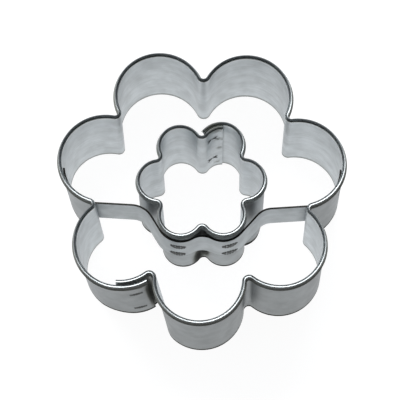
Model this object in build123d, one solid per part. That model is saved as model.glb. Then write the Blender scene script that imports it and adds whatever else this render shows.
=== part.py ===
from build123d import *
from math import acos, asin, atan2, cos, degrees, radians, sin, sqrt, tan
import os

os.makedirs("parts", exist_ok=True)

# Tinplate strip shared by both cutters, in millimetres
sheet = 0.3
contact_gap = 0.02
band_height = 18.1
hem_width = 0.8
hem_depth = 1.1
hem_bevel = 0.25
turn = 360
layer_step = sheet + contact_gap

# Outer flower: seven petals, counted anticlockwise from the lapped one
outer_reach = 17.3
outer_petal_radius = 7.45
outer_fold_margin = 0.95
outer_first_angle = -90 - turn / 7
outer_reach_shares = (0.0, 0.0, 0.0, -0.02, 0.0, 0.01, -0.02)
outer_size_shares = (0.0, -0.01, 0.0, 0.03, 0.0, -0.01, 0.03)
outer_lap_length = 4.941
outer_lap_end_gap = 0.39
outer_lap_flare_gap = 3.74
outer_lap_opening = 0.55

# Inner flower: six petals, counted anticlockwise from the lapped one
inner_reach = 7.18
inner_petal_radius = 3.5
inner_fold_margin = 0.96
inner_centre_y = 0.3
inner_twist = 2
inner_first_angle = 60 + inner_twist
inner_reach_shares = (0.0,) * 6
inner_size_shares = (0.0,) * 6
inner_lap_length = 3.2987
inner_lap_end_gap = 0.128
inner_lap_flare_gap = 0.311
inner_lap_opening = 0.43

# Bridge strip between the two flowers
bridge_height = 7.5
bridge_drop = 3.25
bridge_valley_radius = 3.3
bridge_left_corner_x = -9.47
bridge_left_corner_y = -3.49
bridge_left_corner_radius = 4.5
bridge_left_fold_gap = 0.07
bridge_right_corner_x = 10.56
bridge_right_corner_y = -3.68
bridge_right_corner_radius = 3.6
bridge_right_fold_gap = 0.27
bridge_end_radius = 0.6
tab_length = 8.15

# Spot welds: oval nuggets, long side around the petal
weld_dish = 0.06
weld_sides = 8
seam_weld_width = 1.0
outer_seam_length = 2.5
outer_seam_setbacks = (2.08, 1.56)
outer_seam_heights = (10.6, 3.0)
inner_seam_length = 1.7
inner_seam_setbacks = (1.038, 1.1)
inner_seam_heights = (14.2, 4.6)
bridge_weld_width = 1.7
bridge_weld_length = 2.9
bridge_left_weld_angle = 264
bridge_right_weld_angle = 289
bridge_weld_drops = (2.75, 6.4)
tab_weld_width = 1.4
tab_weld_length = 2.2
tab_weld_setback = 1.9
tab_weld_drops = (2.2, 5.3)


# Points, angles and bends
# A course is a strip's middle line as arcs and straight runs; its outward side is on the right


def point(centre, radius, angle):
    return Vector(centre.X + radius * cos(radians(angle)), centre.Y + radius * sin(radians(angle)))


def heading(start, end):
    return degrees(atan2(end.Y - start.Y, end.X - start.X))


def bend(centre, radius, start, sweep):
    return {"centre": centre, "radius": radius, "start": start, "sweep": sweep}


def run(start, end):
    return {"from": start, "to": end}


def course_edge(item, outward):
    if "radius" in item:
        radius = item["radius"] + (outward if item["sweep"] > 0 else -outward)
        return CenterArc(item["centre"], radius, item["start"], item["sweep"])
    right = heading(item["from"], item["to"]) - turn / 4
    return Line(point(item["from"], outward, right), point(item["to"], outward, right))


def fold_radius(petal, other, margin):
    # The fold takes up half of any gap between the two petals
    gap = (other[0] - petal[0]).length - petal[1] - other[1]
    return margin + max(gap, 0) / 2


def fold_centre(petal, other, radius, flower_centre):
    # Centre of the fold that touches two petals from outside the flower
    reach = petal[1] + radius
    other_reach = other[1] + radius
    span = (other[0] - petal[0]).length
    along = (span * span + reach * reach - other_reach * other_reach) / (2 * span)
    swing = degrees(acos(along / reach))
    line = heading(petal[0], other[0])
    choices = [point(petal[0], reach, line + swing), point(petal[0], reach, line - swing)]
    return max(choices, key=lambda place: (place - flower_centre).length)


def flower_petals(centre, reach, radius, first_angle, reach_shares, size_shares):
    petals = []
    count = len(reach_shares)
    for index in range(count):
        place = point(centre, reach * (1 + reach_shares[index]), first_angle + index * turn / count)
        petals.append((place, radius * (1 + size_shares[index])))
    return petals


def flower_lap(petals, centre, fold_margin, sizes):
    # The lap lies between the two folds of its petal: its angles are measured from them along the wall
    lapped = petals[0]
    next_fold = fold_centre(lapped, petals[1], fold_radius(lapped, petals[1], fold_margin), centre)
    last_fold = fold_centre(petals[-1], lapped, fold_radius(petals[-1], lapped, fold_margin), centre)
    outer_end_angle = heading(lapped[0], next_fold) - degrees(sizes["end_gap"] / lapped[1])
    return dict(
        sizes,
        outer_end_angle=outer_end_angle,
        inner_end_angle=outer_end_angle - degrees(sizes["length"] / lapped[1]),
        open_angle=heading(lapped[0], last_fold) + degrees(sizes["flare_gap"] / lapped[1]),
    )


def flower_course(petals, centre, fold_margin, lap):
    # The strip starts inside the lapped petal and goes once round, to where its outer end springs away
    lapped = petals[0]
    ring = [(lapped[0], lapped[1] - layer_step)] + petals[1:] + [lapped]
    radii = [fold_radius(petal, other, fold_margin) for petal, other in zip(petals, petals[1:] + petals[:1])]
    course = []
    arrival = lap["inner_end_angle"]
    for petal, following, radius in zip(ring, ring[1:], radii):
        fold = fold_centre(petal, following, radius, centre)
        course.append(bend(petal[0], petal[1], arrival, (heading(petal[0], fold) - arrival) % turn))
        fold_start = heading(fold, petal[0])
        fold_end = heading(fold, following[0])
        course.append(bend(fold, radius, fold_start, -((fold_start - fold_end) % turn)))
        arrival = heading(following[0], fold)
    course.append(bend(lapped[0], lapped[1], arrival, (lap["open_angle"] - arrival) % turn))
    return course


# Sheet bodies


def strip_face(course, height):
    outer = [course_edge(item, sheet / 2) for item in course]
    inner = [course_edge(item, -sheet / 2) for item in course]
    ends = [Line(outer[0] @ 0, inner[0] @ 0), Line(outer[-1] @ 1, inner[-1] @ 1)]
    return Pos(0, 0, height) * make_face(Wire(outer + inner + ends))


def upright_sheet(course, bottom, top):
    return extrude(strip_face(course, bottom), top - bottom)


def hemmed_section(bottom):
    # Wall from the given height up, its rim folded outwards and pressed flat; the bevel eases its outer edge
    inside = -sheet / 2
    outside = inside + hem_width
    hem_bottom = band_height - hem_depth
    corners = [
        (inside, bottom),
        (inside, band_height),
        (outside - hem_bevel, band_height),
        (outside, band_height - hem_bevel),
        (outside, hem_bottom),
    ]
    if bottom < hem_bottom:
        corners += [(inside + sheet, hem_bottom), (inside + sheet, bottom)]
    return make_face(Polyline(corners, close=True))


def hemmed_sheet(course, bottom):
    path = Wire([course_edge(item, 0) for item in course])
    outward = Vector(1, 0, 0).rotate(Axis.Z, course[0]["start"])
    plane = Plane(origin=path @ 0, x_dir=outward, z_dir=outward.cross(Vector(0, 0, 1)))
    return sweep(plane * hemmed_section(bottom), path)


def lapped_end(petal, lap):
    # Upright where it is welded, then flared so that its rim clears the rim inside it
    hem_bottom = band_height - hem_depth
    sweep_angle = (lap["outer_end_angle"] - lap["open_angle"]) % turn
    upright = bend(petal[0], petal[1], lap["open_angle"], sweep_angle)
    opened_centre = point(petal[0], -lap["opening"], lap["open_angle"])
    opened = bend(opened_centre, petal[1] + lap["opening"], lap["open_angle"], sweep_angle)
    wall = upright_sheet([upright], 0, lap["flare_start"])
    flare = loft([strip_face([upright], lap["flare_start"]), strip_face([opened], hem_bottom)], ruled=True)
    return wall + flare + hemmed_sheet([opened], hem_bottom)


def flower_band(petals, centre, fold_margin, lap):
    return hemmed_sheet(flower_course(petals, centre, fold_margin, lap), 0) + lapped_end(petals[0], lap)


# Bridge


def mirror_place(place):
    return Vector(-place.X, place.Y)


def mirror_circle(circle):
    return (mirror_place(circle[0]), circle[1])


def mirror_course(course):
    # Reflected across the YZ plane and walked the other way, so the outward side stays in front
    mirrored = []
    for item in reversed(course):
        if "radius" in item:
            start = turn / 2 - item["start"] - item["sweep"]
            mirrored.append(bend(mirror_place(item["centre"]), item["radius"], start, item["sweep"]))
        else:
            mirrored.append(run(mirror_place(item["to"]), mirror_place(item["from"])))
    return mirrored


def mirror_side(side):
    mirrored = dict(side, corner=mirror_place(side["corner"]))
    for name in ("petal", "fold", "wrapped"):
        mirrored[name] = mirror_circle(side[name])
    return mirrored


def bridge_side(side, valley):
    # From the tab's end inside the outer petal, close behind the fold, along the arm and onto the inner petal
    quarter = turn / 4
    petal_centre, petal_radius = side["petal"]
    fold, radius = side["fold"]
    wrapped, wrap_radius = side["wrapped"]
    corner = side["corner"]
    clear_radius = radius + layer_step + side["fold_gap"]
    arm_heading = heading(fold, corner) - degrees(asin(clear_radius / (corner - fold).length))
    along = Vector(1, 0, 0).rotate(Axis.Z, arm_heading)
    across = Vector(0, 0, 1).cross(along)
    tab_radius = petal_radius - layer_step
    to_petal = petal_centre - corner
    rise = to_petal.dot(across) - bridge_end_radius
    back = sqrt((tab_radius - bridge_end_radius) ** 2 - rise**2) - to_petal.dot(along)
    end_centre = corner - along * back + across * bridge_end_radius
    tab_start = heading(petal_centre, end_centre)
    tab_sweep = degrees(tab_length / tab_radius)
    tab = bend(petal_centre, tab_radius, tab_start - tab_sweep, tab_sweep)
    end_bend = bend(end_centre, bridge_end_radius, tab_start, (arm_heading - quarter - tab_start) % turn)
    drop_slant = degrees(asin(wrap_radius / (wrapped - corner).length))
    drop_heading = heading(corner, wrapped) - drop_slant
    cut_back = side["corner_radius"] * tan(radians(arm_heading - drop_heading) / 2)
    corner_start = point(corner, -cut_back, arm_heading)
    corner_centre = point(corner_start, side["corner_radius"], arm_heading - quarter)
    corner_sweep = drop_heading - arm_heading
    corner_bend = bend(corner_centre, side["corner_radius"], arm_heading + quarter, corner_sweep)
    arm = run(point(end_centre, bridge_end_radius, arm_heading - quarter), corner_start)
    landing = drop_heading - quarter
    drop = run(point(corner, cut_back, drop_heading), point(wrapped, wrap_radius, landing))
    hug = bend(wrapped, wrap_radius, landing, (heading(wrapped, valley) - landing) % turn)
    return [tab, end_bend, arm, corner_bend, drop, hug]


def bridge_course(left, right):
    valley = fold_centre(left["wrapped"], right["wrapped"], bridge_valley_radius, inner_centre)
    valley_start = heading(valley, left["wrapped"][0])
    valley_end = heading(valley, right["wrapped"][0])
    middle = bend(valley, bridge_valley_radius, valley_start, -((valley_start - valley_end) % turn))
    return bridge_side(left, valley) + [middle] + mirror_course(bridge_side(mirror_side(right), mirror_place(valley)))


# Spot welds


def weld_outline(size):
    # Oval drawn with straight sides
    corners = []
    for step in range(weld_sides):
        angle = radians(step * turn / weld_sides)
        corners.append((size[0] / 2 * cos(angle), size[1] / 2 * sin(angle)))
    return make_face(Polyline(corners, close=True))


def weld_column(circle, angle, height, size, low, high):
    # Oval column across the sheets, kept between two radii of the petal
    place = point(circle[0], circle[1], angle)
    outward = Vector(1, 0, 0).rotate(Axis.Z, angle)
    along = outward.cross(Vector(0, 0, 1))
    plane = Plane(origin=Vector(place.X, place.Y, height), x_dir=along, z_dir=outward)
    column = extrude(plane * weld_outline(size), size[0], both=True)
    rim = Pos(circle[0].X, circle[0].Y, height) * Cylinder(high, 2 * size[1])
    core = Pos(circle[0].X, circle[0].Y, height) * Cylinder(low, 2 * size[1])
    return column & (rim - core)


def outward_weld(circle, angle, height, size):
    # Marked on the convex face of the sheet whose middle line is the circle
    face = circle[1] + sheet / 2
    nugget = weld_column(circle, angle, height, size, face - weld_depth, face - weld_dish)
    seat = weld_column(circle, angle, height, size, face - weld_depth, face + sheet)
    return nugget, seat


def inward_weld(circle, angle, height, size):
    # Marked on the concave face
    face = circle[1] - sheet / 2
    nugget = weld_column(circle, angle, height, size, face + weld_dish, face + weld_depth)
    seat = weld_column(circle, angle, height, size, face - sheet, face + weld_depth)
    return nugget, seat


def seam_angle(lap, petal, setback):
    return lap["outer_end_angle"] - degrees(setback / petal[1])


def cut_seats(body, welds):
    for nugget, seat in welds:
        body = body - seat
    return body


# Pieces in place

outer_centre = Vector(0, 0)
inner_centre = Vector(0, inner_centre_y)
outer_petals = flower_petals(
    outer_centre, outer_reach, outer_petal_radius, outer_first_angle, outer_reach_shares, outer_size_shares
)
inner_petals = flower_petals(
    inner_centre, inner_reach, inner_petal_radius, inner_first_angle, inner_reach_shares, inner_size_shares
)
outer_lap_sizes = {
    "length": outer_lap_length,
    "end_gap": outer_lap_end_gap,
    "flare_gap": outer_lap_flare_gap,
    "opening": outer_lap_opening,
    "flare_start": outer_seam_heights[0] + seam_weld_width,
}
inner_lap_sizes = {
    "length": inner_lap_length,
    "end_gap": inner_lap_end_gap,
    "flare_gap": inner_lap_flare_gap,
    "opening": inner_lap_opening,
    "flare_start": inner_seam_heights[0] + seam_weld_width,
}
outer_lap = flower_lap(outer_petals, outer_centre, outer_fold_margin, outer_lap_sizes)
inner_lap = flower_lap(inner_petals, inner_centre, inner_fold_margin, inner_lap_sizes)
outer_band = flower_band(outer_petals, outer_centre, outer_fold_margin, outer_lap)
inner_band = flower_band(inner_petals, inner_centre, inner_fold_margin, inner_lap)


# The bridge is held inside the two side petals, passes behind their front folds and hugs the inner front petals


def outer_fold(petal, other):
    radius = fold_radius(petal, other, outer_fold_margin)
    return (fold_centre(petal, other, radius, outer_centre), radius)


def wrap_circle(petal):
    return (petal[0], petal[1] + layer_step)


left_side = {
    "petal": outer_petals[6],
    "fold": outer_fold(outer_petals[6], outer_petals[0]),
    "wrapped": wrap_circle(inner_petals[3]),
    "corner": Vector(bridge_left_corner_x, bridge_left_corner_y),
    "corner_radius": bridge_left_corner_radius,
    "fold_gap": bridge_left_fold_gap,
}
right_side = {
    "petal": outer_petals[3],
    "fold": outer_fold(outer_petals[2], outer_petals[3]),
    "wrapped": wrap_circle(inner_petals[4]),
    "corner": Vector(bridge_right_corner_x, bridge_right_corner_y),
    "corner_radius": bridge_right_corner_radius,
    "fold_gap": bridge_right_fold_gap,
}
bridge_top = band_height - bridge_drop
bridge_line = bridge_course(left_side, right_side)
bridge = upright_sheet(bridge_line, bridge_top - bridge_height, bridge_top)

# Each nugget runs through the marked sheet and half-way into the sheet behind it
weld_depth = layer_step + sheet / 2
inner_lapped = (inner_petals[0][0], inner_petals[0][1] - layer_step)
outer_seam_size = (outer_seam_length, seam_weld_width)
inner_seam_size = (inner_seam_length, seam_weld_width)
bridge_weld_size = (bridge_weld_length, bridge_weld_width)
tab_weld_size = (tab_weld_length, tab_weld_width)
bridge_weld_heights = [bridge_top - drop for drop in bridge_weld_drops]
tab_weld_heights = [bridge_top - drop for drop in tab_weld_drops]
left_tab = bridge_line[0]
right_tab = bridge_line[-1]
setback = degrees(tab_weld_setback / left_tab["radius"])
left_tab_angle = left_tab["start"] + setback
right_tab_angle = right_tab["start"] + right_tab["sweep"] - setback
outer_seam_welds = [
    outward_weld(outer_petals[0], seam_angle(outer_lap, outer_petals[0], setback), height, outer_seam_size)
    for setback, height in zip(outer_seam_setbacks, outer_seam_heights)
]
inner_seam_welds = [
    inward_weld(inner_lapped, seam_angle(inner_lap, inner_petals[0], setback), height, inner_seam_size)
    for setback, height in zip(inner_seam_setbacks, inner_seam_heights)
]
left_petal_welds = [
    outward_weld(left_side["wrapped"], bridge_left_weld_angle, height, bridge_weld_size)
    for height in bridge_weld_heights
]
right_petal_welds = [
    outward_weld(right_side["wrapped"], bridge_right_weld_angle, height, bridge_weld_size)
    for height in bridge_weld_heights
]
left_tab_welds = [
    outward_weld(left_side["petal"], left_tab_angle, height, tab_weld_size) for height in tab_weld_heights
]
right_tab_welds = [
    outward_weld(right_side["petal"], right_tab_angle, height, tab_weld_size) for height in tab_weld_heights
]
petal_welds = left_petal_welds + right_petal_welds
tab_welds = left_tab_welds + right_tab_welds
outer_band = cut_seats(outer_band, outer_seam_welds + tab_welds)
inner_band = cut_seats(inner_band, inner_seam_welds + petal_welds)
bridge = cut_seats(bridge, petal_welds + tab_welds)

# The origin lies under the middle of the outer flower's outline
outline = outer_band.bounding_box()
origin = Vector((outline.min.X + outline.max.X) / 2, (outline.min.Y + outline.max.Y) / 2)


def save(body, node):
    export_step(Pos(-origin.X, -origin.Y, 0) * body, "parts/" + node + ".step")


def save_welds(welds, node):
    save(Compound([nugget for nugget, seat in welds]), node)


save(outer_band, "outer_flower_band")
save(inner_band, "inner_flower_band")
save(bridge, "bridge_strip")
save_welds(outer_seam_welds, "outer_seam_welds")
save_welds(inner_seam_welds, "inner_seam_welds")
save_welds(left_petal_welds, "bridge_left_petal_welds")
save_welds(right_petal_welds, "bridge_right_petal_welds")
save_welds(left_tab_welds, "bridge_left_tab_welds")
save_welds(right_tab_welds, "bridge_right_tab_welds")
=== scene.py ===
import bpy
import bmesh
from math import acos, asin, atan2, cos, degrees, pi, radians, sin, sqrt, tan
from mathutils import Matrix, Vector


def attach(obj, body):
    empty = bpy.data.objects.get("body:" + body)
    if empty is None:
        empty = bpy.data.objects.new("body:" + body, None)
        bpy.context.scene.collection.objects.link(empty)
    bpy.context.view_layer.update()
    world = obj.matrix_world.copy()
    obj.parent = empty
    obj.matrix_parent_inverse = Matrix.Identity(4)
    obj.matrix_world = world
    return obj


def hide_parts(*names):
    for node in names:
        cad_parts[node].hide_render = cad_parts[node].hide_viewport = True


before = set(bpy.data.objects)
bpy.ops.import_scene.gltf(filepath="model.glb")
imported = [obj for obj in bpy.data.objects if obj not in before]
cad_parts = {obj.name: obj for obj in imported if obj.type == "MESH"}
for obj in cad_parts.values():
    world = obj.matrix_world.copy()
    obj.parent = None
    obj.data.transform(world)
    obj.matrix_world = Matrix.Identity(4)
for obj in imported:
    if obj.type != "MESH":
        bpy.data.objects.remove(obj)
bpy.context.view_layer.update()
mm = 0.001
up = Vector((0, 0, 1))
print("frame loaded:", len(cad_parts), "nodes")


# colours and nodes

def srgb(text):
    # hex colour as picked from the photo, turned to linear
    parts = [int(text[i:i + 2], 16) / 255 for i in (0, 2, 4)]
    return tuple(c / 12.92 if c <= 0.04045 else ((c + 0.055) / 1.055) ** 2.4 for c in parts) + (1,)


def addNode(nodes, kind, links=None, **settings):
    node = nodes.new(kind)
    for key, value in settings.items():
        if key in node.inputs:
            node.inputs[key].default_value = value
        else:
            setattr(node, key, value)
    for socket, source in (links or {}).items():
        node.id_data.links.new(source, node.inputs[socket])
    return node


def newMaterial(name):
    material = bpy.data.materials.new(name)
    material.use_nodes = True
    nodes = material.node_tree.nodes
    return material, nodes, nodes["Principled BSDF"]


def setRamp(node, stops):
    ramp = node.color_ramp
    for i, (position, colour) in enumerate(stops):
        element = ramp.elements[i] if i < len(ramp.elements) else ramp.elements.new(position)
        element.position, element.color = position, srgb(colour)
    return node


def setRange(node, low, high, newLow, newHigh):
    for socket, value in zip(("From Min", "From Max", "To Min", "To Max"), (low, high, newLow, newHigh)):
        node.inputs[socket].default_value = value
    return node


def tinplate(name, look):
    # satin tinplate: rolling grain along the strip, cloudy tarnish, low waves from the bending
    # a painted-shade attribute darkens the outside faces and the rim, polish is the rubbed rim, and stain is
    # weld heat and grime, olive where it is warm, matt soot where it burnt, with painted shade along the rim,
    # at the foot and in hollows
    material, nodes, shader = newMaterial(name)
    link = material.node_tree.links.new
    place = addNode(nodes, "ShaderNodeTexCoord")
    along, across = 1 / (look["grainLength"] * mm), 1 / (look["grainPitch"] * mm)
    grainMap = addNode(nodes, "ShaderNodeMapping", {"Vector": place.outputs["Object"]},
                       Scale=(along, along, across))
    grain = addNode(nodes, "ShaderNodeTexNoise", {"Vector": grainMap.outputs[0]},
                    Scale=1.0, Detail=4.0, Roughness=0.6)
    clouds = addNode(nodes, "ShaderNodeTexNoise", {"Vector": place.outputs["Object"]},
                     Scale=1 / (look["cloudSize"] * mm), Detail=3.0, Roughness=0.5)
    waves = addNode(nodes, "ShaderNodeTexNoise", {"Vector": place.outputs["Object"]},
                    Scale=1 / (look["waveSize"] * mm), Detail=1.0, Roughness=0.4)
    streak = setRamp(addNode(nodes, "ShaderNodeValToRGB", {"Fac": grain.outputs["Fac"]}),
                     list(zip(look["grainRange"], (look["dark"], look["light"]))))
    tarnish = setRange(addNode(nodes, "ShaderNodeMapRange", {"Value": clouds.outputs["Fac"]}),
                       *look["cloudRange"], 0.0, look["tarnish"])
    base = addNode(nodes, "ShaderNodeMix", data_type="RGBA")
    link(tarnish.outputs[0], base.inputs["Factor"])
    link(streak.outputs[0], base.inputs["A"])
    base.inputs["B"].default_value = srgb(look["cloudColour"])
    # painted shade: this attribute darkens the outside faces and the rim
    shadeTone = addNode(nodes, "ShaderNodeAttribute", attribute_name="paintedShade")
    tone = addNode(nodes, "ShaderNodeMix", data_type="RGBA", blend_type="MULTIPLY")
    link(shadeTone.outputs["Fac"], tone.inputs["Factor"])
    link(base.outputs["Result"], tone.inputs["A"])
    tone.inputs["B"].default_value = srgb(look["shadeTone"])
    # stain with painted shade: weld heat and grime, and painted shade along the rim, at the foot and in
    # hollows
    heatAndShade = addNode(nodes, "ShaderNodeAttribute", attribute_name="stainAndShade")
    burnAndShade = setRamp(addNode(nodes, "ShaderNodeValToRGB", {"Fac": heatAndShade.outputs["Fac"]}),
                   [(0.0, look["warm"]), (0.5, look["olive"]), (1.0, look["sootAndShade"])])
    colour = addNode(nodes, "ShaderNodeMix", data_type="RGBA")
    link(heatAndShade.outputs["Fac"], colour.inputs["Factor"])
    link(tone.outputs["Result"], colour.inputs["A"])
    link(burnAndShade.outputs[0], colour.inputs["B"])
    link(colour.outputs["Result"], shader.inputs["Base Color"])
    rough = setRange(addNode(nodes, "ShaderNodeMapRange", {"Value": grain.outputs["Fac"]}),
                     *look["roughRange"], *look["roughness"])
    rubbed = addNode(nodes, "ShaderNodeAttribute", attribute_name="polish")
    gloss = addNode(nodes, "ShaderNodeMix", data_type="FLOAT")
    link(rubbed.outputs["Fac"], gloss.inputs[0])
    link(rough.outputs[0], gloss.inputs[2])
    gloss.inputs[3].default_value = look["rimRoughness"]
    grimy = addNode(nodes, "ShaderNodeMix", data_type="FLOAT")
    link(heatAndShade.outputs["Fac"], grimy.inputs[0])
    link(gloss.outputs[0], grimy.inputs[2])
    grimy.inputs[3].default_value = look["sootRoughness"]
    link(grimy.outputs[0], shader.inputs["Roughness"])
    film = setRange(addNode(nodes, "ShaderNodeMapRange", {"Value": heatAndShade.outputs["Fac"]}),
                    0.0, look["filmStain"], 1.0, look["filmMetal"])
    link(film.outputs[0], shader.inputs["Metallic"])
    fine = addNode(nodes, "ShaderNodeBump", {"Height": grain.outputs["Fac"]},
                   Strength=look["grainStrength"], Distance=look["grainDepth"] * mm)
    low = addNode(nodes, "ShaderNodeBump", {"Height": waves.outputs["Fac"], "Normal": fine.outputs[0]},
                  Strength=1.0, Distance=look["waveDepth"] * mm)
    link(low.outputs[0], shader.inputs["Normal"])
    return material


def burntTin(name, look):
    # spot-weld mark: the tin is squeezed and burnt off to dull steel, darkest at the rim of the mark, where
    # painted shade stands for the dent's shaded edge
    material, nodes, shader = newMaterial(name)
    link = material.node_tree.links.new
    place = addNode(nodes, "ShaderNodeTexCoord")
    specks = addNode(nodes, "ShaderNodeTexNoise", {"Vector": place.outputs["Object"]},
                     Scale=1 / (look["speckSize"] * mm), Detail=3.0, Roughness=0.6)
    middle = addNode(nodes, "ShaderNodeAttribute", attribute_name="middle")
    shade = addNode(nodes, "ShaderNodeMath", {0: middle.outputs["Fac"], 1: specks.outputs["Fac"]},
                    operation="MULTIPLY")
    colour = setRamp(addNode(nodes, "ShaderNodeValToRGB", {"Fac": shade.outputs[0]}),
                     list(zip(look["shadeRange"], (look["dark"], look["light"]))))
    bump = addNode(nodes, "ShaderNodeBump", {"Height": specks.outputs["Fac"]},
                   Strength=0.6, Distance=look["speckDepth"] * mm)
    link(colour.outputs[0], shader.inputs["Base Color"])
    link(bump.outputs[0], shader.inputs["Normal"])
    shader.inputs["Metallic"].default_value = 1.0
    shader.inputs["Roughness"].default_value = look["roughness"]
    return material


tinLook = {
    "dark": "C3C9CC", "light": "DADFE2", "grainRange": (0.3, 0.7), "grainLength": 9, "grainPitch": 0.16,
    "cloudColour": "969B9C", "cloudRange": (0.35, 0.7), "cloudSize": 2.6, "tarnish": 0.38,
    "shadeTone": "BEBEBD", "warm": "C6C5B4", "olive": "6B6A55", "sootAndShade": "2C2B28",
    "roughness": (0.44, 0.56), "roughRange": (0.25, 0.75), "rimRoughness": 0.4, "sootRoughness": 0.9,
    "filmStain": 0.6, "filmMetal": 0.25,  # from this stain on, a flux film leaves a quarter of the gloss
    "grainStrength": 0.25, "grainDepth": 0.01, "waveSize": 5, "waveDepth": 0.06,
}
weldLook = {
    "dark": "222323", "light": "474B49", "shadeRange": (0.12, 0.6), "speckSize": 0.35, "speckDepth": 0.02,
    "roughness": 0.5,
}
tin = tinplate("tinplate_satin", tinLook)
burnt = burntTin("weld_mark_burnt_tin", weldLook)
print("materials made")


# the strip's middle line, as arcs and straight runs, in millimetres like the bench drawing

def point(centre, radius, angle):
    return Vector((centre[0] + radius * cos(radians(angle)), centre[1] + radius * sin(radians(angle))))


def heading(start, end):
    return degrees(atan2(end[1] - start[1], end[0] - start[0]))


def foldRadius(petal, other, margin):
    gap = (other[0] - petal[0]).length - petal[1] - other[1]
    return margin + max(gap, 0) / 2


def foldCentre(petal, other, radius, flowerCentre):
    reach, otherReach = petal[1] + radius, other[1] + radius
    span = (other[0] - petal[0]).length
    swing = degrees(acos((span * span + reach * reach - otherReach * otherReach) / (2 * span * reach)))
    line = heading(petal[0], other[0])
    choices = [point(petal[0], reach, line + swing), point(petal[0], reach, line - swing)]
    return max(choices, key=lambda place: (place - flowerCentre).length)


def flowerPetals(flower):
    petals = []
    count = len(flower["reachShares"])
    for i in range(count):
        reach = flower["reach"] * (1 + flower["reachShares"][i])
        place = point(flower["centre"], reach, flower["firstAngle"] + i * 360 / count)
        petals.append((place, flower["petal"] * (1 + flower["sizeShares"][i])))
    return petals


def flowerCourse(petals, flower):
    # from the tucked end inside petal 0, once round, to the outer end
    tucked = (petals[0][0], petals[0][1] - layerStep)
    ring = [tucked] + petals[1:] + [petals[0]]
    pairs = zip(petals, petals[1:] + petals[:1])
    radii = [foldRadius(petal, other, flower["foldMargin"]) for petal, other in pairs]
    course = []
    arrival = flower["innerEnd"]
    for petal, following, radius in zip(ring, ring[1:], radii):
        fold = foldCentre(petal, following, radius, flower["centre"])
        course.append((petal[0], petal[1], arrival, (heading(petal[0], fold) - arrival) % 360))
        start, end = heading(fold, petal[0]), heading(fold, following[0])
        course.append((fold, radius, start, -((start - end) % 360)))
        arrival = heading(following[0], fold)
    course.append((petals[0][0], petals[0][1], arrival, (flower["outerEnd"] - arrival) % 360))
    return course


# shared strip, same sizes as the CAD
strip = {
    "sheet": 0.3, "contactGap": 0.02, "height": 18.1, "hemDepth": 1.1, "hemRound": 0.3,
    "wallRows": 30, "hemRows": 3, "roundSteps": 6, "bendStep": 0.42, "tightRadius": 2.5, "bendSteps": 4,
    "edge": 0.42, "edgeShadow": 1.0, "edgeShadowInside": 0.3, "edgeShadowFade": 0.5,  # painted contact shadow along the foot of the wall
    "rimShade": 0.9, "lineFrom": 0.05, "lineBand": 0.1,  # painted shade on the rim and its painted dark lines, the lines measured down from its top
}
layerStep = strip["sheet"] + strip["contactGap"]
shift = Vector((0, 0.778685))  # the flower's centre from the part's origin

# how the hand-bent walls lean, in mm at the cutting edge: base and share of x, spots that lean more,
# feet pressed forward, and how far from the middle the strip stays calm
leanReach = {
    "from": 14, "over": 16, "calmOver": 5, "spotFade": 1.5,
    "footFade": 1.6, "footFrom": -5.2, "footOver": 1.6,
}
outerSway = {"base": 0.42, "share": 0.019, "spots": [((-13, -16), 12, 0.42), ((-11.5, -19.5), 7.5, 0.7)]}
innerSway = {
    "base": 0.28, "share": 0.0, "spots": [((-10.5, 0.5), 6, -0.3)],
    "feet": [((9.0, -2.2), 4.6, (-0.7, -2.6)), ((-9.0, -2.4), 3.4, (0.0, -0.4))],
}
bridgeSway = {
    "base": 0.42, "share": 0.019, "calm": 12, "spots": [((-8.5, -7.5), 5, -0.8), ((9.0, -7.0), 5, 0.5)],
}

# angles in degrees round the lapped petal; opening and spread are how far the outer layer springs away
outerFlower = {
    "centre": shift, "reach": 17.3, "petal": 7.45, "foldMargin": 0.95, "firstAngle": -90 - 360 / 7,
    "reachShares": (0.0, 0.0, 0.0, -0.02, 0.0, 0.01, -0.02),
    "sizeShares": (0.0, -0.01, 0.0, 0.03, 0.0, -0.01, 0.03),
    "innerEnd": 266, "outerEnd": 304, "openAngle": 160, "opening": 0.6, "spread": 0.16, "flareStart": 11.6,
    "hemWidth": 0.8, "paintedShade": 1.0, "rimLineShade": 0.5, "sway": outerSway,
}
innerFlower = {
    "centre": shift + Vector((0, 0.3)), "reach": 7.18, "petal": 3.5, "foldMargin": 0.96, "firstAngle": 62,
    "reachShares": (0.0,) * 6, "sizeShares": (0.0,) * 6,
    "innerEnd": 88, "outerEnd": 142, "openAngle": -15, "opening": 0.46, "spread": 0.03, "flareStart": 15.2,
    "hemWidth": 0.74, "paintedShade": 0.8, "rimLineShade": 0.28, "sway": innerSway,
}


# sheet pieces in bmesh

def penLine(bm, pen, target, steps=1):
    # draws the section like a pen: extrudes the last vertex towards the target
    step = (Vector(target) - pen.co) / steps
    for i in range(steps):
        made = bmesh.ops.extrude_vert_indiv(bm, verts=[pen])["verts"]
        pen = made[0]
        bmesh.ops.translate(bm, verts=[pen], vec=step)
    return pen


def penArc(bm, pen, centre, axis, angle, steps):
    made = bmesh.ops.spin(bm, geom=[pen], cent=centre, axis=axis, angle=angle, steps=steps)
    return [item for item in made["geom_last"] if isinstance(item, bmesh.types.BMVert)][0]


sheetLayers = ("paintedShade", "stainAndShade", "polish")
hair = 0.001  # mm, tolerance when a height is compared


def ease(value):
    value = min(max(value, 0), 1)
    return value * value * (3 - 2 * value)


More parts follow.
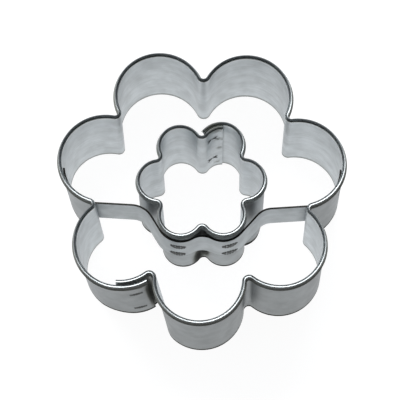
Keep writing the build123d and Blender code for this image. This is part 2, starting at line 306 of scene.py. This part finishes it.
def markWall(bm, place, outward, flower):
    # painted shade: the outside is darker than the inside, and a painted contact shadow darkens the foot
    paintedShade, stainAndShade, polish = [bm.verts.layers.float[name] for name in sheetLayers]
    for vert in bm.verts:
        offset = (vert.co - place).dot(outward) / mm
        height = vert.co.z / mm
        fromTop = strip["height"] - height
        if offset > 0 and fromTop > strip["hemDepth"] - hair:
            vert[paintedShade] = flower["paintedShade"]
        if height < strip["edge"] + hair:
            vert[stainAndShade] = strip["edgeShadow"] if offset > 0 else strip["edgeShadowInside"]
        elif height < 2 * strip["edge"] - hair and offset > 0:
            vert[stainAndShade] = strip["edgeShadowFade"]
        if fromTop < strip["hemDepth"] + hair:
            vert[polish] = 1.0
            if offset > 0 or fromTop < strip["hemRound"] + hair:
                vert[paintedShade] = strip["rimShade"]
            # painted shade: a dark line along both sides of the rim
            if offset > strip["sheet"]:
                shoulder = (fromTop - strip["lineFrom"]) / (strip["hemRound"] - strip["lineFrom"])
                vert[stainAndShade] = flower["rimLineShade"] * ease(shoulder)
            elif offset <= 0 and abs(fromTop - strip["hemRound"]) < strip["lineBand"]:
                vert[stainAndShade] = flower["rimLineShade"]


def markBridge(bm, place, outward):
    # plain strip: painted shade makes the front darker, and painted shadow darkens both edges
    paintedShade, stainAndShade = [bm.verts.layers.float[name] for name in ("paintedShade", "stainAndShade")]
    for vert in bm.verts:
        if (vert.co - place).dot(outward) > 0:
            vert[paintedShade] = bridge["paintedShade"]
        height = vert.co.z / mm
        if min(height - bridge["bottom"], bridge["top"] - height) < hair:
            vert[stainAndShade] = strip["edgeShadow"]


def newSheet():
    bm = bmesh.new()
    for name in sheetLayers:
        bm.verts.layers.float.new(name)
    return bm


def hemmedSection(bm, place, outward, flower):
    # inner face up, over the pressed fold with its rounded shoulders, down the hem's leg and back to the foot
    sheet, width, shoulder = strip["sheet"] * mm, flower["hemWidth"] * mm, strip["hemRound"] * mm
    edge = strip["edge"] * mm
    top, hemBottom = strip["height"] * mm, (strip["height"] - strip["hemDepth"]) * mm
    inside, outside = -sheet / 2, width - sheet / 2
    tangent = outward.cross(up)

    def at(offset, height):
        return place + outward * offset + up * height

    first = bmesh.ops.create_vert(bm, co=at(inside, 0))["vert"][0]
    pen = penLine(bm, first, at(inside, edge))
    pen = penLine(bm, pen, at(inside, 2 * edge))
    pen = penLine(bm, pen, at(inside, top - shoulder - edge), strip["wallRows"])
    pen = penLine(bm, pen, at(inside, top - shoulder))
    pen = penArc(bm, pen, at(inside + shoulder, top - shoulder), tangent, pi / 2, strip["roundSteps"])
    pen = penLine(bm, pen, at(outside - shoulder, top), 2)
    pen = penArc(bm, pen, at(outside - shoulder, top - shoulder), tangent, pi / 2, strip["roundSteps"])
    pen = penLine(bm, pen, at(outside, hemBottom), strip["hemRows"])
    pen = penLine(bm, pen, at(sheet / 2, hemBottom))
    pen = penLine(bm, pen, at(sheet / 2, 2 * edge), strip["wallRows"])
    pen = penLine(bm, pen, at(sheet / 2, edge))
    pen = penLine(bm, pen, at(sheet / 2, 0))
    bmesh.ops.contextual_create(bm, geom=[pen, first])
    markWall(bm, place, outward, flower)
    return list(bm.verts) + list(bm.edges)


def bendStrip(bm, section, course):
    # carries the section along the course, bend by bend, and returns the vertices of each bend
    groups = []
    last = section
    bmesh.ops.contextual_create(bm, geom=[part for part in section if isinstance(part, bmesh.types.BMEdge)])
    for item in course:
        before = set(bm.verts)
        if len(item) == 4:
            centre, radius, start, sweep = item
            steps = abs(radians(sweep)) * max(radius, strip["tightRadius"]) / strip["bendStep"]
            steps = max(strip["bendSteps"], round(steps))
            made = bmesh.ops.spin(bm, geom=last, cent=(centre[0] * mm, centre[1] * mm, 0), axis=up,
                                  angle=radians(sweep), steps=steps)["geom_last"]
        else:
            made = last
            start, end = Vector(item[0]), Vector(item[1])
            steps = max(1, round((end - start).length / strip["bendStep"]))
            for i in range(steps):
                edges = [edge for edge in made if isinstance(edge, bmesh.types.BMEdge)]
                made = bmesh.ops.extrude_edge_only(bm, edges=edges)["geom"]
                verts = [vert for vert in made if isinstance(vert, bmesh.types.BMVert)]
                bmesh.ops.translate(bm, verts=verts, vec=((end - start) / steps * mm).to_3d())
        last = [part for part in made if not isinstance(part, bmesh.types.BMFace)]
        groups.append([vert for vert in bm.verts if vert not in before])
    bmesh.ops.contextual_create(bm, geom=[part for part in last if isinstance(part, bmesh.types.BMEdge)])
    return groups


def flareEnd(verts, petal, flower):
    # above the weld the outer layer springs away, so its hem clears the tucked one
    hemBottom = strip["height"] - strip["hemDepth"]
    lapStart = (flower["innerEnd"] - flower["openAngle"]) % 360
    lapLength = flower["outerEnd"] - flower["innerEnd"]
    for vert in verts:
        rise = (vert.co.z / mm - flower["flareStart"]) / (hemBottom - flower["flareStart"])
        rise = min(max(rise, 0), 1)
        flat = vert.co.xy / mm - petal[0]
        angle = degrees(atan2(flat.y, flat.x))
        opened = (angle - flower["openAngle"]) % 360
        if rise > 0 and opened < lapStart + 2 * lapLength:
            push = flower["opening"] * ease(opened / lapStart)
            push += flower["spread"] * ease((opened - lapStart) / lapLength)
            place = point(petal[0], flat.length + push * rise, angle)
            vert.co.x, vert.co.y = place.x * mm, place.y * mm


def leanWalls(bm, sway):
    # hand-bent walls aren't quite upright: in front the cutting edge sits a little to the right of the rim
    for vert in bm.verts:
        flat = vert.co.xy / mm - shift
        down = 1 - vert.co.z / mm / strip["height"]
        lean = sway["base"] - sway["share"] * flat.x
        lean *= ease((leanReach["from"] - flat.y) / leanReach["over"])
        if "calm" in sway:
            lean *= ease((abs(flat.x) - sway["calm"]) / leanReach["calmOver"])
        for centre, reach, push in sway["spots"]:
            near = 1 - (flat - Vector(centre)).length / reach
            lean += push * ease(leanReach["spotFade"] * near)
        vert.co.x += down * lean * mm
        for centre, reach, push in sway.get("feet", []):  # side petals pressed forward at their foot
            near = 1 - (flat - Vector(centre)).length / reach
            share = ease(leanReach["footFade"] * near)
            share *= ease((flat.y - leanReach["footFrom"]) / leanReach["footOver"])
            vert.co += Vector(push).to_3d() * down * down * share * mm


def stainAndShadeSheet(bm, spots):
    # heat and soot, and painted shade in corners and hollows: place in mm, reach in mm, strength; below zero
    # it takes stain and painted shade away
    layer = bm.verts.layers.float["stainAndShade"]
    for vert in bm.verts:
        for place, reach, strength in spots:
            away = vert.co / mm - Vector(place)
            share = sum((away[i] / reach[i]) ** 2 for i in range(3))
            change = strength * ease(1 - share)
            vert[layer] = max(vert[layer] + min(change, 0), change, 0)


def finishPiece(bm, name, material, node, sway, sharpAngle=35):
    leanWalls(bm, sway)
    bmesh.ops.remove_doubles(bm, verts=bm.verts, dist=0.0005 * mm)
    bmesh.ops.recalc_face_normals(bm, faces=bm.faces)
    for face in bm.faces:
        face.smooth = True
    for edge in bm.edges:
        if len(edge.link_faces) == 2 and edge.calc_face_angle(0) > radians(sharpAngle):
            edge.smooth = False
    mesh = bpy.data.meshes.new(name)
    bm.to_mesh(mesh)
    bm.free()
    piece = bpy.data.objects.new(name, mesh)
    bpy.context.scene.collection.objects.link(piece)
    mesh.materials.append(material)
    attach(piece, "root")
    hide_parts(node)
    return piece


def flowerBand(name, flower, node, spots):
    petals = flowerPetals(flower)
    course = flowerCourse(petals, flower)
    centre, radius, start, sweep = course[0]
    bm = newSheet()
    place = (point(centre, radius, start) * mm).to_3d()
    section = hemmedSection(bm, place, point((0, 0), 1, start).to_3d(), flower)
    groups = bendStrip(bm, section, course)
    flareEnd(groups[-1], petals[0], flower)
    stainAndShadeSheet(bm, spots)
    return finishPiece(bm, name, tin, node, flower["sway"])


# heat and grime, and painted shade in corners and hollows: place and reach in mm, strength
outerSpots = [
    ((-8.9, -16.3, 8.0), (1.3, 1.3, 11), 0.95),  # painted shade in the corner beside the lap's outer end
    ((-10.3, -16.9, 16.2), (1.8, 1.5, 3), 0.5),
    ((-12.4, -16.7, 17.2), (5.0, 1.9, 2.4), -0.35),  # less of the rim's painted shade in the gap between the lap's two rims
]
innerSpots = [
    ((1.9, 10.6, 17.6), (2.2, 1.5, 1.4), 0.4),  # gap between the lap's two rims
    ((2.7, 10.4, 13.2), (0.6, 0.6, 0.6), 0.5),  # smudges beside the seam's marks
    ((3.4, 10.4, 13.0), (0.4, 0.6, 0.5), 0.5),
    ((2.9, 10.4, 8.9), (0.7, 0.6, 0.6), 0.4),
    ((2.5, 10.3, 2.0), (0.7, 0.6, 0.6), 0.4),
    ((-0.5, -7.7, 2.5), (1.5, 1.4, 5.0), 1.0),  # painted shadow in the hollow between the front petals, under the bridge
    ((0.3, -7.2, 5.0), (1.5, 1.2, 5.0), 1.0),
]
outerBand = flowerBand("outer_band_sheet", outerFlower, "outer_flower_band", outerSpots)
innerBand = flowerBand("inner_band_sheet", innerFlower, "inner_flower_band", innerSpots)
print("bands bent:", len(outerBand.data.polygons), len(innerBand.data.polygons))


# bridge: its long tabs lie inside the side petals, its middle hugs the two front petals of the small flower
# corners are where the arm and the drop would meet, measured from the large flower's centre
bridge = {
    "height": 7.5, "drop": 3.25, "valleyRadius": 3.3, "endRadius": 0.6, "tabLength": 8.15, "paintedShade": 0.4,
    "rows": 15, "edge": 0.12,
    "left": {"corner": (-9.47, -3.49), "cornerRadius": 4.5, "foldGap": 0.07},
    "right": {"corner": (10.56, -3.68), "cornerRadius": 3.6, "foldGap": 0.27},
}
bridge["top"] = strip["height"] - bridge["drop"]
bridge["bottom"] = bridge["top"] - bridge["height"]
outerPetals, innerPetals = flowerPetals(outerFlower), flowerPetals(innerFlower)


def sheetFold(petal, other, flower):
    radius = foldRadius(petal, other, flower["foldMargin"])
    return foldCentre(petal, other, radius, flower["centre"]), radius


def mirrorPlace(place):
    return Vector((-place.x, place.y))


def mirrorCourse(course):
    # reflected across the middle and walked the other way
    mirrored = []
    for item in reversed(course):
        if len(item) == 4:
            centre, radius, start, sweep = item
            mirrored.append((mirrorPlace(centre), radius, 180 - start - sweep, sweep))
        else:
            mirrored.append((mirrorPlace(item[1]), mirrorPlace(item[0])))
    return mirrored


def bridgeSide(side, petal, fold, wrapped, valley):
    # from the tab's end inside the outer petal, close behind the fold, along the arm and onto the inner petal
    corner, endRadius = side["corner"], bridge["endRadius"]
    clearRadius = fold[1] + layerStep + side["foldGap"]
    arm = heading(fold[0], corner) - degrees(asin(clearRadius / (corner - fold[0]).length))
    along, across = point((0, 0), 1, arm), point((0, 0), 1, arm + 90)
    tabRadius = petal[1] - layerStep
    toPetal = petal[0] - corner
    rise = toPetal.dot(across) - endRadius
    back = sqrt((tabRadius - endRadius) ** 2 - rise ** 2) - toPetal.dot(along)
    endCentre = corner - along * back + across * endRadius
    tabStart, tabSweep = heading(petal[0], endCentre), degrees(bridge["tabLength"] / tabRadius)
    drop = heading(corner, wrapped[0]) - degrees(asin(wrapped[1] / (wrapped[0] - corner).length))
    cutBack = side["cornerRadius"] * tan(radians(arm - drop) / 2)
    armEnd = point(corner, -cutBack, arm)
    landing = drop - 90
    return [
        (petal[0], tabRadius, tabStart - tabSweep, tabSweep),
        (endCentre, endRadius, tabStart, (arm - 90 - tabStart) % 360),
        (point(endCentre, endRadius, arm - 90), armEnd),
        (point(armEnd, side["cornerRadius"], arm - 90), side["cornerRadius"], arm + 90, drop - arm),
        (point(corner, cutBack, drop), point(wrapped[0], wrapped[1], landing)),
        (wrapped[0], wrapped[1], landing, (heading(wrapped[0], valley) - landing) % 360),
    ]


def bridgeCourse():
    corners = [Vector(bridge[side]["corner"]) + shift for side in ("left", "right")]
    left = dict(bridge["left"], corner=corners[0])
    right = dict(bridge["right"], corner=mirrorPlace(corners[1]))
    wrapped = [(petal[0], petal[1] + layerStep) for petal in innerPetals[3:5]]
    leftFold = sheetFold(outerPetals[6], outerPetals[0], outerFlower)
    rightFold = sheetFold(outerPetals[2], outerPetals[3], outerFlower)
    valley = foldCentre(wrapped[0], wrapped[1], bridge["valleyRadius"], innerFlower["centre"])
    start, end = heading(valley, wrapped[0][0]), heading(valley, wrapped[1][0])
    middle = (valley, bridge["valleyRadius"], start, -((start - end) % 360))
    mirrored = [(mirrorPlace(circle[0]), circle[1]) for circle in (outerPetals[3], rightFold, wrapped[1])]
    rightSide = bridgeSide(right, *mirrored, mirrorPlace(valley))
    return bridgeSide(left, outerPetals[6], leftFold, wrapped[0], valley) + [middle] + mirrorCourse(rightSide)


def plainSection(bm, place, outward):
    sheet, edge = strip["sheet"] * mm, bridge["edge"]
    bottom, top = bridge["bottom"], bridge["top"]

    def at(offset, height):
        return place + outward * offset + up * height * mm

    first = bmesh.ops.create_vert(bm, co=at(-sheet / 2, bottom))["vert"][0]
    pen = penLine(bm, first, at(-sheet / 2, bottom + edge))
    pen = penLine(bm, pen, at(-sheet / 2, top - edge), bridge["rows"])
    pen = penLine(bm, pen, at(-sheet / 2, top))
    pen = penLine(bm, pen, at(sheet / 2, top))
    pen = penLine(bm, pen, at(sheet / 2, top - edge))
    pen = penLine(bm, pen, at(sheet / 2, bottom + edge), bridge["rows"])
    pen = penLine(bm, pen, at(sheet / 2, bottom))
    bmesh.ops.contextual_create(bm, geom=[pen, first])
    markBridge(bm, place, outward)
    return list(bm.verts) + list(bm.edges)


def bentBridge(name, node):
    course = bridgeCourse()
    centre, radius, start, sweep = course[0]
    bm = newSheet()
    place = (point(centre, radius, start) * mm).to_3d()
    bendStrip(bm, plainSection(bm, place, point((0, 0), 1, start).to_3d()), course)
    return finishPiece(bm, name, tin, node, bridgeSway)


bridgeSheet = bentBridge("bridge_sheet", "bridge_strip")
print("bridge bent:", len(bridgeSheet.data.polygons))


# spot welds: oval pinched marks, laid round the petal they sit on
# face is how far the marked face lies outside the petal's middle line, side is 1 on a convex face and -1
# on a hollow one, angles and heights give one mark each, tilt turns a mark on the wall
ovalMark = {
    "corners": 32, "lip": 0.03, "skirt": 0.1,
    "insets": (0.08, 0.1, 0.14, 0.1), "levels": (-0.1, 0.7, 1.0, 0.9, 0.8), "middles": (0, 0.1, 0.3, 0.8, 1),
}
halfSheet = strip["sheet"] / 2
petalHeights = [bridge["top"] - drop for drop in (2.75, 6.4)]
tabHeights = [bridge["top"] - drop for drop in (2.2, 5.3)]
weldMarks = {
    "outer_seam_welds": {
        "petal": outerPetals[0], "face": halfSheet, "side": 1, "size": (2.5, 1.15), "tilt": 0,
        "angles": (286, 284.5), "heights": (10.6, 3.0), "sway": outerSway,
    },
    "inner_seam_welds": {
        "petal": innerPetals[0], "face": -layerStep - halfSheet, "side": -1, "size": (1.9, 0.8), "tilt": 0,
        "angles": (125, 124), "heights": (14.2, 4.6), "sway": innerSway,
    },
    "bridge_left_petal_welds": {
        "petal": innerPetals[3], "face": layerStep + halfSheet, "side": 1, "size": (2.9, 2.0), "tilt": -18,
        "angles": (264, 263), "heights": petalHeights, "sway": bridgeSway,
    },
    "bridge_right_petal_welds": {
        "petal": innerPetals[4], "face": layerStep + halfSheet, "side": 1, "size": (2.9, 2.0), "tilt": 0,
        "angles": (289, 289), "heights": petalHeights, "sway": bridgeSway,
    },
    "bridge_left_tab_welds": {
        "petal": outerPetals[6], "face": halfSheet, "side": 1, "size": (2.2, 1.4), "tilt": 0,
        "angles": (200.3, 200.3), "heights": tabHeights, "sway": outerSway,
    },
    "bridge_right_tab_welds": {
        "petal": outerPetals[3], "face": halfSheet, "side": 1, "size": (2.2, 1.4), "tilt": 0,
        "angles": (345, 345), "heights": tabHeights, "sway": outerSway,
    },
}


def weldMark(bm, weld, angle, height):
    # raised rim, dished middle; drawn flat and then laid on the curved wall
    centre, radius = weld["petal"][0], weld["petal"][1] + weld["face"]
    middle = bm.verts.layers.float["middle"]
    before = set(bm.verts)
    made = bmesh.ops.create_circle(bm, cap_ends=True, segments=ovalMark["corners"], radius=0.5)["verts"]
    face = made[0].link_faces[0]
    bmesh.ops.scale(bm, verts=made, vec=(weld["size"][0], weld["size"][1], 1))
    rings = [set(made)]
    for thickness in ovalMark["insets"]:
        bmesh.ops.inset_region(bm, faces=[face], thickness=thickness, use_even_offset=True, use_boundary=True)
        rings.append(set(face.verts))
    for ring, level, share in zip(rings, ovalMark["levels"], ovalMark["middles"]):
        for vert in ring:
            vert.co.z = level * ovalMark["lip"]
            vert[middle] = share
    turn = Matrix.Rotation(radians(weld["tilt"]), 3, "Z")
    bmesh.ops.rotate(bm, verts=list(set().union(*rings)), cent=(0, 0, 0), matrix=turn)
    bmesh.ops.poke(bm, faces=[face])
    skirt = bmesh.ops.extrude_edge_only(bm, edges=[edge for edge in bm.edges if edge.is_boundary])["geom"]
    skirt = [vert for vert in skirt if isinstance(vert, bmesh.types.BMVert)]
    bmesh.ops.translate(bm, verts=skirt, vec=(0, 0, -ovalMark["skirt"]))
    bmesh.ops.contextual_create(bm, geom=[edge for edge in bm.edges if edge.is_boundary])
    for vert in set(bm.verts) - before:
        swing = weld["side"] * degrees(vert.co.x / radius)
        place = point(centre, radius + weld["side"] * vert.co.z, angle + swing)
        vert.co = Vector((place.x, place.y, height + vert.co.y)) * mm


def weldGroup(node, weld):
    bm = bmesh.new()
    bm.verts.layers.float.new("middle")
    for angle, height in zip(weld["angles"], weld["heights"]):
        weldMark(bm, weld, angle, height)
    return finishPiece(bm, node + "_marks", burnt, node, weld["sway"], 60)


for node, weld in weldMarks.items():
    weldGroup(node, weld)
print("weld marks pinched:", len(weldMarks))


# camera at the photograph's angle, fitted to rim and cutting edge
photoView = {
    "elevation": 70.91, "distance": 387.24, "pixelsPerMm": 5.616, "frameX": 201.536, "frameY": 215.195,
    "roll": 0.48, "turn": 1.73, "frame": 400,
}


def placeCamera(view):
    tilt, roll = radians(view["elevation"]), radians(view["roll"])
    back = Vector((0, -cos(tilt), sin(tilt)))
    right = Vector((1, 0, 0))
    rise = back.cross(right)
    side = right * cos(roll) - rise * sin(roll)
    top = right * sin(roll) + rise * cos(roll)
    offX = (view["frameX"] - view["frame"] / 2) / view["pixelsPerMm"]
    offY = -(view["frameY"] - view["frame"] / 2) / view["pixelsPerMm"]
    place = back * view["distance"] - side * offX - top * offY
    turn = Matrix.Rotation(radians(view["turn"]), 3, "Z")
    axes = Matrix((turn @ side, turn @ top, turn @ back)).transposed()
    data = bpy.data.cameras.new("camera")
    data.lens = view["distance"] * view["pixelsPerMm"] / view["frame"] * data.sensor_width
    data.clip_start, data.clip_end = 0.01, 10
    cam = bpy.data.objects.new("camera", data)
    bpy.context.scene.collection.objects.link(cam)
    cam.matrix_world = Matrix.Translation(((turn @ place) + shift.to_3d()) * mm) @ axes.to_4x4()
    bpy.context.scene.camera = cam


placeCamera(photoView)


# studio: white card below, one soft box above, a room that darkens towards the front
studio = {
    "cardSize": 1.5, "card": "66676A", "cardRoughness": 0.9, "cardSpecular": 0.1,
    "nearGlow": 0.945, "farGlow": 0.25, "glowFrom": 0.06, "glowTo": 0.2,
    "front": "101112", "sides": "4A4C50", "back": "C2C5C8", "roomStops": (0.1, 0.45, 0.9),
    "roomAxis": (-0.3, 0.62, 0.7), "roomRange": (-0.7, 1.0), "room": 1.0,
    "boxPlace": (-0.15, 0.55, 0.4), "boxSize": (0.8, 0.5), "boxPower": 10,
}


def addArea(name, place, target, size, power):
    data = bpy.data.lights.new(name, "AREA")
    data.shape = "RECTANGLE"
    data.size, data.size_y = size
    data.energy = power
    lamp = bpy.data.objects.new(name, data)
    bpy.context.scene.collection.objects.link(lamp)
    lamp.location = place
    lamp.rotation_euler = (Vector(target) - Vector(place)).to_track_quat("-Z", "Y").to_euler()
    return lamp


def whiteCard():
    # matt card that reads as pure white to the eye and in the metal, and still takes the shadow
    bm = bmesh.new()
    bmesh.ops.create_grid(bm, x_segments=1, y_segments=1, size=studio["cardSize"])
    mesh = bpy.data.meshes.new("floor")
    bm.to_mesh(mesh)
    bm.free()
    floor = bpy.data.objects.new("floor", mesh)
    bpy.context.scene.collection.objects.link(floor)
    material, nodes, shader = newMaterial("card_white")
    shader.inputs["Base Color"].default_value = srgb(studio["card"])
    shader.inputs["Roughness"].default_value = studio["cardRoughness"]
    shader.inputs["Specular IOR Level"].default_value = studio["cardSpecular"]
    path = addNode(nodes, "ShaderNodeLightPath")
    seen = addNode(nodes, "ShaderNodeMath",
                   {0: path.outputs["Is Camera Ray"], 1: path.outputs["Is Glossy Ray"]}, operation="MAXIMUM")
    seenAll = addNode(nodes, "ShaderNodeMath", {0: seen.outputs[0], 1: path.outputs["Is Transmission Ray"]},
                      operation="MAXIMUM")
    spot = addNode(nodes, "ShaderNodeTexCoord")
    away = addNode(nodes, "ShaderNodeVectorMath", {0: spot.outputs["Object"]}, operation="LENGTH")
    pool = addNode(nodes, "ShaderNodeMapRange", {"Value": away.outputs["Value"]},
                   interpolation_type="SMOOTHSTEP")
    setRange(pool, studio["glowFrom"], studio["glowTo"], studio["nearGlow"], studio["farGlow"])
    glow = addNode(nodes, "ShaderNodeMath", {0: seenAll.outputs[0], 1: pool.outputs[0]}, operation="MULTIPLY")
    shader.inputs["Emission Color"].default_value = (1, 1, 1, 1)
    material.node_tree.links.new(glow.outputs[0], shader.inputs["Emission Strength"])
    mesh.materials.append(material)


def room():
    world = bpy.data.worlds.new("room")
    world.use_nodes = True
    bpy.context.scene.world = world
    nodes = world.node_tree.nodes
    background = nodes["Background"]
    sky = addNode(nodes, "ShaderNodeTexCoord")
    lean = addNode(nodes, "ShaderNodeVectorMath", {0: sky.outputs["Generated"]}, operation="DOT_PRODUCT")
    lean.inputs[1].default_value = studio["roomAxis"]
    shade = addNode(nodes, "ShaderNodeMapRange", {"Value": lean.outputs["Value"]})
    setRange(shade, *studio["roomRange"], 0.0, 1.0)
    tones = (studio["front"], studio["sides"], studio["back"])
    shade = setRamp(addNode(nodes, "ShaderNodeValToRGB", {"Fac": shade.outputs[0]}),
                    list(zip(studio["roomStops"], tones)))
    world.node_tree.links.new(shade.outputs[0], background.inputs["Color"])
    background.inputs["Strength"].default_value = studio["room"]


whiteCard()
room()
addArea("softbox_top", studio["boxPlace"], (0, 0, 0), studio["boxSize"], studio["boxPower"])

bpy.context.scene.view_settings.view_transform = "Standard"
